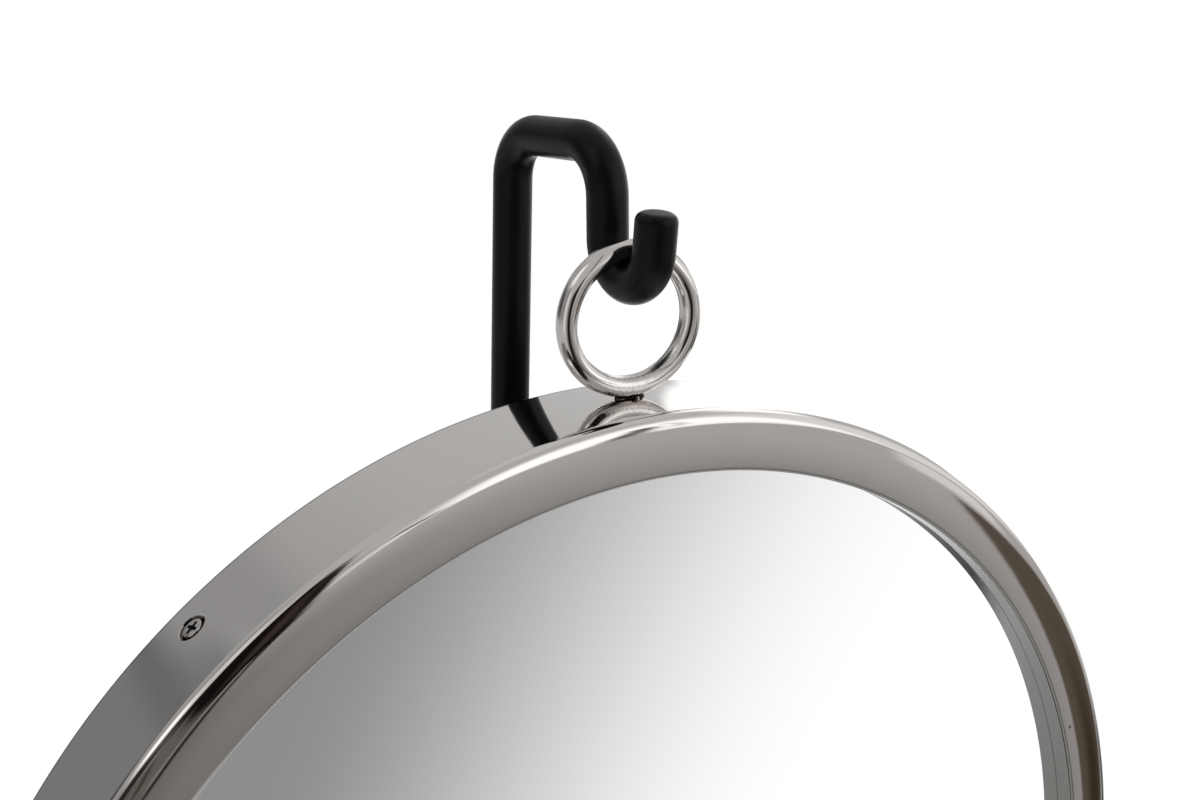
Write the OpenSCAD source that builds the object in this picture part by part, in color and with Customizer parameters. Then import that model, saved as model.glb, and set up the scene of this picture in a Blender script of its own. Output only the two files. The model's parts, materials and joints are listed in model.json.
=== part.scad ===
// Round mirror hung by a ring from a bent bar, for a table
// Origin at the middle of the base's underside, +Z up, the mirror faces -Y
// Pieces of the mirror are drawn about its own axis: depth 0 is the front, -Y is the top

/* [Mirror frame] */
// Outside diameter of the frame
frame_d = 450; // [360:5:600]
// Depth of the side band, front to back
frame_depth = 41.8; // [40:0.1:46]
// Width of the front flange
flange_w = 20; // [18:0.5:26]
// Thickness of the rolled sheet
sheet_t = 1.5; // [1:0.1:1.8]
// Outside radius of the bend between band and flange
edge_r = 4.2; // [2.5:0.1:4.8]
// Outside radius of the bend at the glass opening
lip_r = 2.2; // [2:0.1:2.6]
// Radius of the flange's crown across its width
crown_r = 60; // [40:5:120]
// Depth of the return lip that the glass lies behind
lip_depth = 8.2; // [6.5:0.1:8.5]

/* [Glass and backing] */
// Thickness of the mirror glass
glass_t = 3; // [3:0.5:4]
// How far the glass reaches under the flange
glass_cover = 13; // [10:0.5:15]
// Radial width of the foam ring in front of the glass
gasket_w = 8; // [5:0.5:9]
// How far the foam ring stays inside the glass's edge
gasket_inset = 1; // [0.5:0.5:2]
// Thickness of the foam sheet behind the glass
foam_t = 2; // [1.5:0.5:3]
// Thickness of the backing board
board_t = 3; // [2:0.5:3.5]
// Thickness of the closing panel at the back
panel_t = 6; // [4:0.5:7]
// How far the closing panel lies inside the band's back edge
panel_inset = 2.2; // [1:0.1:3]
// Radial width of the wooden hoop
hoop_w = 28; // [24:1:34]

/* [Hanging ring] */
// Outside diameter of the ring
ring_d = 50.3; // [48:0.1:60]
// Diameter of the ring's bar
ring_bar_d = 7; // [5:0.05:7.2]
// Distance of the ring's plane behind the frame's front
ring_back = 24.1; // [20:0.1:25]
// Height of the ring's lowest point above the band
neck_h = 0.3; // [0.3:0.1:2]
// Radius of the saddle that is brazed to the stud and holds the ring
saddle_r = 4.5; // [3.2:0.1:5]
// Width of the saddle, front to back
saddle_w = 3.4; // [2.6:0.2:4.2]
// How far the saddle reaches up beside the ring's bar
saddle_h = 0.7; // [0.5:0.1:1.3]
// Diameter of the stud's thread
stud_d = 5; // [4:0.5:6]

/* [Bent bar] */
// Diameter of the coated bar
bar_d = 13.4; // [10:0.1:14.2]
// Distance from the upright's axis to the middle of the hook
arm_reach = 72; // [70:0.2:100]
// Height of the arm's axis above the middle of the hook, where the crook ends
arm_rise = 26.2; // [23:0.1:40]
// How much the arm climbs towards the front, in degrees
arm_lift = 3.1; // [0:0.1:5]
// Bend radius of the upright into the arm, at the bar's axis
crook_r = 16.1; // [14:0.1:22]
// Bend radius of the arm into the leg, at the bar's axis
shoulder_r = 16.8; // [14:0.1:18]
// Bend radius of the hook, at the bar's axis
hook_r = 12.8; // [12.8:0.1:15]
// Forward lean of the leg above the hook, in degrees
leg_lean = 3.7; // [-3:0.1:6]
// Forward lean of the hook's tip, in degrees
tip_lean = 4.6; // [0:0.1:8]
// Length of the straight tip past the hook's bend
tip_len = 12.3; // [6:0.1:14]
// Radius of the rounded edge of the tip
tip_edge_r = 1.4; // [0.8:0.1:3]
// How much the bar's radius grows in its bends
bend_swell = 0.03; // [0.02:0.01:0.1]

/* [Base] */
// Diameter of the base plate
base_d = 260; // [240:5:320]
// Thickness of the base plate
base_t = 18; // [16:0.5:24]
// Radius of the base plate's top edge
base_edge_r = 3; // [1:0.5:6]
// Chamfer of the base plate's bottom edge
base_chamfer = 1; // [0.5:0.25:2]
// Thickness of the felt under the base
felt_t = 2; // [1.5:0.5:4]
// How far the felt stays inside the base's edge
felt_inset = 4; // [2:0.5:8]
// How far the upright stands behind the middle of the base
upright_back = 45; // [30:1:60]
// Depth of the recess that the upright stands in
recess_depth = 3; // [2:0.5:4]
// Air between the base plate and the frame
under_gap = 40; // [20:1:80]

/* [Fixings] */
// Diameter of the side screws' shank
side_screw_d = 3.5; // [3:0.1:4]
// Length of the side screws
side_screw_len = 16; // [12:1:20]
// Distance of the side screws behind the frame's front
side_screw_back = 29.4; // [26:0.1:31]
// Angle of the upper side screws from the frame's top, in degrees
side_screw_angle = 39.2; // [30:0.1:44]
// Diameter of the countersinks in the band
countersink_d = 9.4; // [9:0.1:10.4]
// Diameter of the back screws' shank
back_screw_d = 3; // [2.5:0.1:3.5]
// Length of the back screws under the head
back_screw_len = 16; // [12:1:18]
// Number of the back screws
back_screws_n = 8; // [6:2:12]
// Diameter of the base bolt's thread
bolt_d = 8; // [6:0.5:8]
// How far the bolt reaches into the upright
bolt_grip = 20; // [12:1:30]

/* [Clearances] */
// Gap between pieces that lie on each other
seat_gap = 0.1; // [0.05:0.05:0.15]
// Radial gap of the glass, board and panel inside the band
band_gap = 1; // [0.5:0.1:1.5]
// Gap between the ring and what it turns on
ring_gap = 0.15; // [0.1:0.05:0.2]
// Radial gap of a shank in its hole
hole_gap = 0.1; // [0.05:0.05:0.2]

/* [Hidden] */
$fn = 96;
// Steps along each arc of an outline
ARC_STEPS = 10;
// Length that a cut runs past the face it starts from
THROUGH = 1;
// Length that a straight run of the bar reaches into its bends
RUN_LAP = 0.4;

// Radii about the mirror's axis
frame_r = frame_d / 2;
band_inside_r = frame_r - sheet_t;
opening_r = frame_r - flange_w;
glass_r = opening_r + glass_cover;
board_r = band_inside_r - band_gap;
hoop_r = band_inside_r - seat_gap;
hoop_mid_r = hoop_r - hoop_w / 2;

// Depths behind the frame's front, from the lip to the back panel
glass_front = lip_depth + seat_gap;
foam_front = glass_front + glass_t + seat_gap;
board_front = foam_front + foam_t + seat_gap;
hoop_front = board_front + board_t + seat_gap;
panel_back = frame_depth - panel_inset;
panel_front = panel_back - panel_t;
hoop_back = panel_front - seat_gap;

// Heights from the table up
base_top = felt_t + base_t;
mirror_z = base_top + under_gap + frame_r;
ring_r = (ring_d - ring_bar_d) / 2;
ring_z = mirror_z + frame_r + neck_h + ring_d / 2;
pivot_z = ring_z + ring_r;
bar_r = bar_d / 2;
hook_z = pivot_z - ring_bar_d / 2 - ring_gap - bar_r + hook_r;
arm_z = hook_z + arm_rise;

// The hook's middle stands over the ring's plane, which sets where the mirror's front is
hook_y = upright_back - arm_reach;
mirror_y = hook_y - ring_back;

// Straight runs of the bar between its bends: arm and leg together close the way from the
// crook's end, arm_out forwards and arm_down downwards, when the bends have taken their part
arm_heading = 90 - arm_lift;
leg_heading = 180 - leg_lean;
arm_out = arm_reach - crook_r * (1 - cos(arm_heading)) - shoulder_r * cos(arm_heading)
    + (shoulder_r + hook_r) * cos(leg_heading);
arm_down = arm_rise - shoulder_r * sin(arm_heading) + (shoulder_r + hook_r) * sin(leg_heading);
arm_run = (arm_out * cos(leg_heading) + arm_down * sin(leg_heading))
    / sin(arm_heading - leg_heading);
leg_run = -(arm_down * sin(arm_heading) + arm_out * cos(arm_heading))
    / sin(arm_heading - leg_heading);
foot_z = base_top - recess_depth;
upright_run = arm_z - crook_r * sin(arm_heading) - foot_z;
// Each row: straight run, bend radius, turn towards the front (back is negative)
BENDS = [
    [upright_run, crook_r, arm_heading],
    [arm_run, shoulder_r, leg_heading - arm_heading],
    [leg_run, hook_r, -(leg_heading - tip_lean)]
];

// Base bolt, lock washer and washer in their counterbore
bolt_head_h = 0.66 * bolt_d;
bolt_head_af = 1.625 * bolt_d;
washer_t = 0.2 * bolt_d;
washer_r = bolt_d;
lock_t = 0.25 * bolt_d;
lock_r = 0.8 * bolt_d;
bolt_bore_r = washer_r + 1.5;
bolt_hole_r = bolt_d / 2 + 0.5;
bolt_bore_depth = bolt_grip + 2;
lock_twist = 20;
bolt_head_z = felt_t + seat_gap;
lock_z = bolt_head_z + bolt_head_h + seat_gap;
washer_z = lock_z + lock_t + seat_gap;
counterbore_top = washer_z + washer_t + seat_gap;

// Stud, washer and nut inside the band
stud_washer_t = 1;
stud_past_nut = 1;
stud_washer_r = stud_d;
stud_nut_t = 0.8 * stud_d;
stud_nut_af = 1.6 * stud_d;
stud_washer_top = sqrt(pow(band_inside_r, 2) - pow(stud_washer_r, 2)) - seat_gap;
stud_nut_top = stud_washer_top - stud_washer_t - seat_gap;
stud_end = stud_nut_top - stud_nut_t - stud_past_nut;
notch_w = 3 * stud_d;
notch_gap = 1.5;
notch_r = stud_end - notch_gap;
notch_back = ring_back + stud_nut_af;

// Side screw heads, sunk in the countersinks
side_head_r = side_screw_d * 1.03;
side_head_h = side_head_r - side_screw_d / 2;
side_sink = countersink_d / 2 - side_head_r - hole_gap;
side_head_top = frame_r - side_sink;
back_head_r = 1.15 * back_screw_d;
back_head_h = 0.65 * back_screw_d;

STEEL = "#6f6d6b";
NICKEL = "#9a9690";
BLACK = "#161616";

function arc(centre, r, from, to) =
    [for (i = [0 : ARC_STEPS]) let (a = from + (to - from) * i / ARC_STEPS)
        centre + r * [cos(a), sin(a)]];

function backwards(points) = [for (i = [len(points) - 1 : -1 : 0]) points[i]];

// One face of the frame's sheet, from the band's back edge round to the lip's end
function sheet_face(inset) =
    let (
        crown_mid = (frame_r - edge_r + opening_r + lip_r) / 2,
        crown_half = (frame_r - edge_r - opening_r - lip_r) / 2,
        to_edge = asin(crown_half / (crown_r - edge_r)),
        to_lip = asin(crown_half / (crown_r - lip_r)),
        edge_c = [frame_r - edge_r, crown_r - (crown_r - edge_r) * cos(to_edge)],
        lip_c = [opening_r + lip_r, crown_r - (crown_r - lip_r) * cos(to_lip)]
    )
    concat(
        [[frame_r - inset, frame_depth]],
        arc(edge_c, edge_r - inset, 0, -90 + to_edge),
        arc([crown_mid, crown_r], crown_r - inset, -90 + to_edge, -90 - to_lip),
        arc(lip_c, lip_r - inset, -90 - to_lip, -180),
        [[opening_r + inset, lip_depth]]
    );

// Mirror pieces: their axis becomes -Y to +Y, and their -Y becomes the top
module on_mirror() {
    translate([0, mirror_y, mirror_z]) rotate([-90, 0, 0]) children();
}

// Pieces drawn along +Z, set pointing out of the rim at an angle from the top
module at_rim(angle, back) {
    rotate([0, 0, angle]) translate([0, 0, back]) rotate([90, 0, 0]) children();
}

module at_side_screws() {
    for (side = [-1, 1], top = [0, 1])
        at_rim(side * (top == 1 ? side_screw_angle : 180 - side_screw_angle), side_screw_back)
            children();
}

module at_back_screws() {
    for (i = [0 : back_screws_n - 1])
        rotate([0, 0, (i + 0.5) * 360 / back_screws_n]) translate([hoop_mid_r, 0, panel_back])
            children();
}

module tube(r_out, r_in, h) {
    difference() {
        cylinder(r = r_out, h = h);
        translate([0, 0, -THROUGH]) cylinder(r = r_in, h = h + 2 * THROUGH);
    }
}

module hexagon(across_flats, h) {
    cylinder(d = across_flats / cos(30), h = h, $fn = 6);
}

module disc(r, from, to) {
    translate([0, 0, from]) cylinder(r = r, h = to - from, $fn = 180);
}

// Ring bar as a torus about the mirror's axis direction, thicker by grow
module ring_torus(grow) {
    translate([0, -(ring_z - mirror_z), ring_back])
        rotate_extrude() translate([ring_r, 0]) circle(r = ring_bar_d / 2 + grow);
}

module stud_notch() {
    translate([-notch_w / 2, -frame_r, board_front - THROUGH])
        cube([notch_w, frame_r - notch_r, notch_back - board_front + THROUGH]);
}

module side_screw(grow) {
    translate([0, 0, side_head_top - side_head_h])
        cylinder(r1 = side_screw_d / 2 + grow, r2 = side_head_r + grow, h = side_head_h);
    translate([0, 0, side_head_top - side_screw_len])
        cylinder(r = side_screw_d / 2 + grow, h = side_screw_len - side_head_h);
}

// The bar's straight run, then its bend, then the rest of the bends
module bar_from(i) {
    if (i < len(BENDS)) {
        run = BENDS[i][0];
        r = BENDS[i][1];
        turn = BENDS[i][2];
        way = sign(turn);
        lap = i > 0 ? RUN_LAP : 0;
        translate([0, 0, -lap]) cylinder(r = bar_r, h = run + lap + RUN_LAP);
        translate([0, 0, run]) {
            rotate([0, 0, way < 0 ? 180 : 0]) translate([0, -r, 0]) rotate([90, 0, 90])
                rotate_extrude(angle = abs(turn)) translate([r, 0]) circle(r = bar_r + bend_swell);
            translate([0, -way * r, 0]) rotate([turn, 0, 0]) translate([0, way * r, 0])
                bar_from(i + 1);
        }
    } else {
        bar_tip();
    }
}

// Square-cut tip with a rounded edge
module bar_tip() {
    rotate_extrude() polygon(concat(
        [[0, -RUN_LAP], [bar_r, -RUN_LAP]],
        arc([bar_r - tip_edge_r, tip_len - tip_edge_r], tip_edge_r, 0, 90),
        [[0, tip_len]]
    ));
}

module hook_rod() {
    color(BLACK) difference() {
        translate([0, upright_back, foot_z]) bar_from(0);
        translate([0, upright_back, foot_z - THROUGH])
            cylinder(r = bolt_d / 2 + hole_gap, h = bolt_bore_depth + THROUGH);
    }
}

module base_plate() {
    base_r = base_d / 2;
    color(BLACK) difference() {
        rotate_extrude($fn = 180) polygon(concat(
            [[0, felt_t], [base_r - base_chamfer, felt_t], [base_r, felt_t + base_chamfer]],
            arc([base_r - base_edge_r, base_top - base_edge_r], base_edge_r, 0, 90),
            [[0, base_top]]
        ));
        translate([0, upright_back, foot_z - seat_gap]) cylinder(r = bar_r + hole_gap, h = base_t);
        translate([0, upright_back, 0]) cylinder(r = bolt_hole_r, h = base_top);
        translate([0, upright_back, 0]) cylinder(r = bolt_bore_r, h = counterbore_top);
    }
}

module base_felt() {
    color("#1c1c1d") cylinder(r = base_d / 2 - felt_inset, h = felt_t - seat_gap, $fn = 180);
}

module base_bolt() {
    color(STEEL) translate([0, upright_back, bolt_head_z]) {
        hexagon(bolt_head_af, bolt_head_h);
        cylinder(d = bolt_d, h = foot_z + bolt_grip - bolt_head_z);
    }
}

// Split spring washer with its ends a little apart
module lock_washer() {
    slit_w = 0.15 * bolt_d;
    color(STEEL) translate([0, upright_back, lock_z]) difference() {
        tube(lock_r, bolt_d / 2 + hole_gap, lock_t);
        rotate([lock_twist, 0, 0]) translate([0, -slit_w / 2, -2 * lock_t])
            cube([2 * lock_r, slit_w, 6 * lock_t]);
    }
}

module base_washer() {
    color(STEEL) translate([0, upright_back, washer_z])
        tube(washer_r, bolt_d / 2 + 2 * hole_gap, washer_t);
}

module hanging_ring() {
    color(NICKEL) on_mirror() ring_torus(0);
}

// Saddle under the ring's bar, on a threaded shank that goes through the band
module ring_stud() {
    saddle_top = sheet_t + neck_h + saddle_h;
    color(NICKEL) on_mirror() difference() {
        at_rim(0, ring_back) {
            translate([0, 0, frame_r - sheet_t]) intersection() {
                cylinder(r = saddle_r, h = saddle_top);
                translate([-saddle_r, -saddle_w / 2, 0]) cube([2 * saddle_r, saddle_w, saddle_top]);
            }
            translate([0, 0, stud_end]) cylinder(d = stud_d, h = frame_r - stud_end);
        }
        difference() {
            disc(frame_r + seat_gap / 2, 0, frame_depth);
            at_rim(0, ring_back) cylinder(d = stud_d, h = frame_r + THROUGH);
        }
        ring_torus(ring_gap);
    }
}

module stud_washer() {
    color(STEEL) on_mirror() at_rim(0, ring_back)
        translate([0, 0, stud_washer_top - stud_washer_t])
            tube(stud_washer_r, stud_d / 2 + hole_gap, stud_washer_t);
}

module stud_nut() {
    color(STEEL) on_mirror() at_rim(0, ring_back) translate([0, 0, stud_nut_top - stud_nut_t])
        difference() {
            hexagon(stud_nut_af, stud_nut_t);
            translate([0, 0, -THROUGH])
                cylinder(r = stud_d / 2 + hole_gap / 2, h = stud_nut_t + 2 * THROUGH);
        }
}

module mirror_frame() {
    color(NICKEL) on_mirror() difference() {
        rotate_extrude($fn = 180) polygon(concat(sheet_face(0), backwards(sheet_face(sheet_t))));
        at_rim(0, ring_back) cylinder(r = stud_d / 2 + hole_gap, h = frame_r + THROUGH);
        at_side_screws() translate([0, 0, frame_r - countersink_d / 2])
            cylinder(r1 = 0, r2 = countersink_d / 2 + THROUGH, h = countersink_d / 2 + THROUGH);
    }
}

module glass_gasket() {
    gasket_front = crown_r - sqrt(pow(crown_r, 2) - pow(flange_w / 2, 2)) + sheet_t;
    gasket_r = glass_r - gasket_inset;
    color("#2a2a2a") on_mirror() translate([0, 0, gasket_front + seat_gap])
        tube(gasket_r, gasket_r - gasket_w, glass_front - gasket_front - 2 * seat_gap, $fn = 180);
}

module mirror_glass() {
    color("#c9cccd") on_mirror() disc(glass_r, glass_front, glass_front + glass_t);
}

module foam_sheet() {
    color("#d8d8d4") on_mirror() disc(glass_r, foam_front, foam_front + foam_t);
}

module backing_board() {
    color("#8b6c4b") on_mirror() difference() {
        disc(board_r, board_front, board_front + board_t);
        stud_notch();
    }
}

module wood_hoop() {
    color("#b08a5e") on_mirror() difference() {
        translate([0, 0, hoop_front])
            tube(hoop_r, hoop_r - hoop_w, hoop_back - hoop_front, $fn = 180);
        stud_notch();
        at_side_screws() side_screw(hole_gap);
        at_back_screws() translate([0, 0, -back_screw_len - THROUGH])
            cylinder(r = back_screw_d / 2 + hole_gap, h = back_screw_len + THROUGH);
    }
}

module side_screws() {
    color(STEEL) on_mirror() at_side_screws() side_screw(0);
}

module back_panel() {
    color("#1b1a19") on_mirror() difference() {
        disc(board_r, panel_front, panel_back);
        at_back_screws() translate([0, 0, -panel_t - THROUGH])
            cylinder(r = back_screw_d / 2 + hole_gap, h = panel_t + 2 * THROUGH);
    }
}

module back_screws() {
    dome_r = (pow(back_head_r, 2) + pow(back_head_h, 2)) / (2 * back_head_h);
    color(STEEL) on_mirror() at_back_screws() {
        translate([0, 0, seat_gap]) intersection() {
            cylinder(r = back_head_r, h = back_head_h);
            translate([0, 0, back_head_h - dome_r]) sphere(r = dome_r);
        }
        translate([0, 0, -back_screw_len])
            cylinder(d = back_screw_d, h = back_screw_len + 1.5 * seat_gap);
    }
}

base_felt();
base_plate();
base_bolt();
lock_washer();
base_washer();
hook_rod();
hanging_ring();
ring_stud();
stud_washer();
stud_nut();
mirror_frame();
glass_gasket();
mirror_glass();
foam_sheet();
backing_board();
wood_hoop();
side_screws();
back_panel();
back_screws();
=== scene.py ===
"""Hanging table mirror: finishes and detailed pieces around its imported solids."""

import json
import math

import bmesh
import bpy
from bpy.props import FloatProperty, FloatVectorProperty, IntProperty, PointerProperty
from mathutils import Matrix, Vector

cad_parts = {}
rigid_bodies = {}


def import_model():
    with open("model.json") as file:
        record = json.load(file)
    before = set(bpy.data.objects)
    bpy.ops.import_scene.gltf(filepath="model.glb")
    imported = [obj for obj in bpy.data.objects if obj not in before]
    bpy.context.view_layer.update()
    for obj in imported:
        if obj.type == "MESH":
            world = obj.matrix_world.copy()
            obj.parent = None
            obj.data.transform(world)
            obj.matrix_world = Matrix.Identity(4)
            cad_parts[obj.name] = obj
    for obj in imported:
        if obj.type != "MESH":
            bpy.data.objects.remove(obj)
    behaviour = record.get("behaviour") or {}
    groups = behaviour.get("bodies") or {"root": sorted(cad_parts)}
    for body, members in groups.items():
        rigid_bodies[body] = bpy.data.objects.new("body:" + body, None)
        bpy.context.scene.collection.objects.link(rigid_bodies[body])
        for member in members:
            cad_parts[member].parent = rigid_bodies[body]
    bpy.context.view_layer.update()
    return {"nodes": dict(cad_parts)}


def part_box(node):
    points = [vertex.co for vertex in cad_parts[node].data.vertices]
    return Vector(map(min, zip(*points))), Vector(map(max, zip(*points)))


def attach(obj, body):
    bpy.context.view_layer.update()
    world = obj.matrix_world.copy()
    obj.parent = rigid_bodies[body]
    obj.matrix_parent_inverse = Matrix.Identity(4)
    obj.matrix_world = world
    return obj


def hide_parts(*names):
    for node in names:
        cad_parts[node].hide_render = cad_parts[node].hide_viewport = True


bl_info = {
    "name": "Hanging table mirror",
    "version": (1, 0, 0),
    "blender": (4, 5, 0),
    "location": "View3D > Sidebar > Mirror",
    "description": "Builds a round nickel mirror that hangs by a ring from a bent black bar",
    "category": "Add Mesh",
}

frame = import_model()
MM = 0.001


def middle_and_size(node):
    """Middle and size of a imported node's box."""
    low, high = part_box(node)
    return (low + high) / 2, high - low


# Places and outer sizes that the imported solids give
FRAME_MID, FRAME_SIZE = middle_and_size("mirror_frame")
GLASS_MID, GLASS_SIZE = middle_and_size("mirror_glass")
GASKET_MID, GASKET_SIZE = middle_and_size("glass_gasket")
FOAM_MID, FOAM_SIZE = middle_and_size("foam_sheet")
HOOP_SIZE = middle_and_size("wood_hoop")[1]
PANEL_MID, PANEL_SIZE = middle_and_size("back_panel")
RING_MID, RING_SIZE = middle_and_size("hanging_ring")
ROD_MID, ROD_SIZE = middle_and_size("hook_rod")
PLATE_MID, PLATE_SIZE = middle_and_size("base_plate")
FELT_MID, FELT_SIZE = middle_and_size("base_felt")
STUD_MID, STUD_SIZE = middle_and_size("ring_stud")
FRAME_R = FRAME_SIZE.x / 2
FRAME_DEPTH = FRAME_SIZE.y
FRONT = FRAME_MID.y - FRAME_DEPTH / 2
FRAME_TOP = FRAME_MID.z + FRAME_R
MIRROR_MID = Vector((0, FRONT, FRAME_MID.z))
# Turns a piece drawn along +Z, its front at 0, onto the mirror's axis, with its -Y side up
ON_MIRROR = Matrix.Translation(MIRROR_MID) @ Matrix.Rotation(math.radians(-90), 4, "X")


def faces_of(mid, size):
    """How far the front and back face of a piece lie behind the frame's front."""
    return mid.y - FRONT - size.y / 2, mid.y - FRONT + size.y / 2


def at_rim(angle, back):
    """Where a piece drawn outwards along +Z stands on the band, at an angle from its top."""
    there = Matrix.Rotation(angle, 4, "Z") @ Matrix.Translation((0, 0, back))
    return ON_MIRROR @ there @ Matrix.Rotation(math.pi / 2, 4, "X")


def a_length(name, description, millimetres):
    """A length that can be set."""
    return FloatProperty(
        name=name, description=description, default=millimetres * MM, unit="LENGTH")


def an_angle(name, description, angle):
    """An angle that can be set."""
    return FloatProperty(
        name=name, description=description, default=math.radians(angle), subtype="ANGLE")


def a_share(name, description, default):
    """A share from 0 to 1 that can be set."""
    return FloatProperty(name=name, description=description, default=default, min=0, max=1)


def a_color(name, description, *rgb):
    """A colour that can be set."""
    return FloatVectorProperty(
        name=name, description=description, default=(*rgb, 1), subtype="COLOR", size=4)


class FrameSettings(bpy.types.PropertyGroup):
    """Rolled nickel frame of the mirror"""

    flange_width: a_length("Flange width", "Width of the front flange", 20)
    sheet: a_length("Sheet", "Thickness of the rolled sheet", 1.5)
    edge_radius: a_length("Edge radius", "Bend between band and flange", 4.2)
    lip_radius: a_length("Lip radius", "Bend at the glass opening", 1.1)
    crown_radius: a_length("Crown radius", "Crown across the flange", 60)
    lip_depth: a_length("Lip depth", "Depth of the return lip", 8.2)
    cut_edge: a_length("Cut edge", "Chamfer of the sheet's cut edges", 0.25)
    steps: IntProperty(
        name="Steps", description="Facets round the frame", default=480, min=48, max=720)
    ring_turn: an_angle("Ring turn", "How far the brazed ring is turned about the vertical", -5.9)
    ring_pitch: an_angle("Ring pitch", "How far the brazed ring leans back", 0.3)
    ring_low: a_length("Ring low", "How far the ring hangs below its place on the hook", 0.05)
    ring_aside: a_length("Ring aside", "How far the ring hangs to the right of the middle", 0.4)
    color: a_color("Nickel", "Colour of polished nickel", 0.70, 0.675, 0.655)
    roughness: a_share("Roughness", "Roughness of polished nickel", 0.035)


class GlassSettings(bpy.types.PropertyGroup):
    """Mirror glass and what lies behind it"""

    silver: a_color("Silver", "Colour of the silvered face", 0.95, 0.95, 0.95)
    edge: a_color("Edge", "Colour of the glass's cut edge", 0.16, 0.30, 0.25)
    arris: a_length("Arris", "Chamfer of the glass's edges", 0.4)
    gasket_width: a_length("Gasket width", "Radial width of the gasket", 8)
    hoop_width: a_length("Hoop width", "Radial width of the wooden hoop", 28)


class BarSettings(bpy.types.PropertyGroup):
    """Bent bar with its hook"""

    diameter: a_length("Diameter", "Diameter of the coated bar", 13.4)
    reach: a_length("Reach", "Upright's axis to the middle of the hook", 72)
    rise: a_length("Rise", "Arm's axis above the middle of the hook", 26.2)
    lift: an_angle("Lift", "How much the arm climbs towards the front", 3.1)
    crook_radius: a_length("Crook radius", "Bend of the upright into the arm", 16.1)
    shoulder_radius: a_length("Shoulder radius", "Bend of the arm into the leg", 16.8)
    hook_radius: a_length("Hook radius", "Bend of the hook", 12.8)
    leg_lean: an_angle("Leg lean", "Forward lean of the leg", 3.7)
    tip_lean: an_angle("Tip lean", "Forward lean of the tip", 4.6)
    tip_length: a_length("Tip length", "Straight tip past the bend", 12.3)
    tip_edge: a_length("Tip edge", "Radius of the tip's edge", 2.9)
    ring_gap: a_length("Ring gap", "Gap between the ring and the hook", 0.15)
    color: a_color("Coat", "Colour of the black coat", 0.0036, 0.0036, 0.0038)
    roughness: a_share("Roughness", "Roughness of the black coat", 0.36)


class FixingSettings(bpy.types.PropertyGroup):
    """Screws, stud and brazing"""

    side_back: a_length("Side screw place", "Side screws behind the frame's front", 29.4)
    side_angle: an_angle("Side screw angle", "Upper side screws, from the frame's top", 39.2)
    side_shank: a_length("Side shank", "Diameter of the side screws' thread", 3.5)
    side_length: a_length("Side length", "Length of the side screws", 16)
    countersink: a_length("Countersink", "Diameter of the countersinks", 9.4)
    back_shank: a_length("Back shank", "Diameter of the back screws' thread", 3)
    back_length: a_length("Back length", "Length of the back screws under the head", 16)
    back_count: IntProperty(
        name="Back screws", description="Number of screws in the panel", default=8, min=4, max=16)
    thread_pitch: a_length("Pitch", "Distance between the turns of the screws' threads", 1.2)
    foot_radius: a_length("Foot", "Half length of the brazed foot under the ring", 5.6)
    foot_aside: a_length("Foot aside", "How far the foot runs to the right of its stud", 1.3)
    foot_width: a_length("Foot width", "Half width of the brazed foot, front to back", 1.6)
    ring_gap: a_length("Ring gap", "Gap between the ring and its foot", 0.05)


class BaseSettings(bpy.types.PropertyGroup):
    """Base plate and its fixings"""

    top_edge: a_length("Top edge", "Radius of the plate's top edge", 3)
    upright_back: a_length("Upright back", "Upright behind the plate's middle", 45)
    recess: a_length("Recess", "Depth of the upright's seat", 3)
    color: a_color("Coat", "Colour of the plate's powder coat", 0.012, 0.012, 0.0125)


class StageSettings(bpy.types.PropertyGroup):
    """Camera, floor and light"""

    place: FloatVectorProperty(
        name="Camera place", description="Where the camera stands", subtype="TRANSLATION",
        default=(-0.304508, -0.473886, 0.655357))
    azimuth: an_angle("Azimuth", "Heading of the view, to the right of +Y", 33.4076)
    elevation: an_angle("Elevation", "How far the camera looks down", 15.1469)
    roll: an_angle("Roll", "Turn of the camera about its view", 1.5081)
    lens: FloatProperty(
        name="Lens", description="Focal length for a 36 mm sensor, in millimetres",
        default=53.3594)
    floor_radius: a_length("Floor radius", "Radius of the pale floor", 620)
    floor_color: a_color("Floor", "Colour of the floor", 0.82, 0.82, 0.82)


class MirrorSettings(bpy.types.PropertyGroup):
    """Everything that can be set on the mirror"""

    frame: PointerProperty(type=FrameSettings)
    glass: PointerProperty(type=GlassSettings)
    bar: PointerProperty(type=BarSettings)
    fixings: PointerProperty(type=FixingSettings)
    base: PointerProperty(type=BaseSettings)
    stage: PointerProperty(type=StageSettings)


# Shader nodes


def operator(operation, swapped=False):
    """A method of Link that makes a maths node."""
    def make(link, other=0.0):
        return link.nodes.math(operation, *((other, link) if swapped else (link, other)))
    return make


class Link:
    """The output of a node, for use in Python expressions."""

    def __init__(self, nodes, socket):
        self.nodes = nodes
        self.socket = socket

    __add__, __radd__ = operator("ADD"), operator("ADD", True)
    __sub__, __rsub__ = operator("SUBTRACT"), operator("SUBTRACT", True)
    __mul__, __rmul__ = operator("MULTIPLY"), operator("MULTIPLY", True)
    __pow__, __gt__ = operator("POWER"), operator("GREATER_THAN")
    __abs__, largest = operator("ABSOLUTE"), operator("MAXIMUM")


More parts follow.
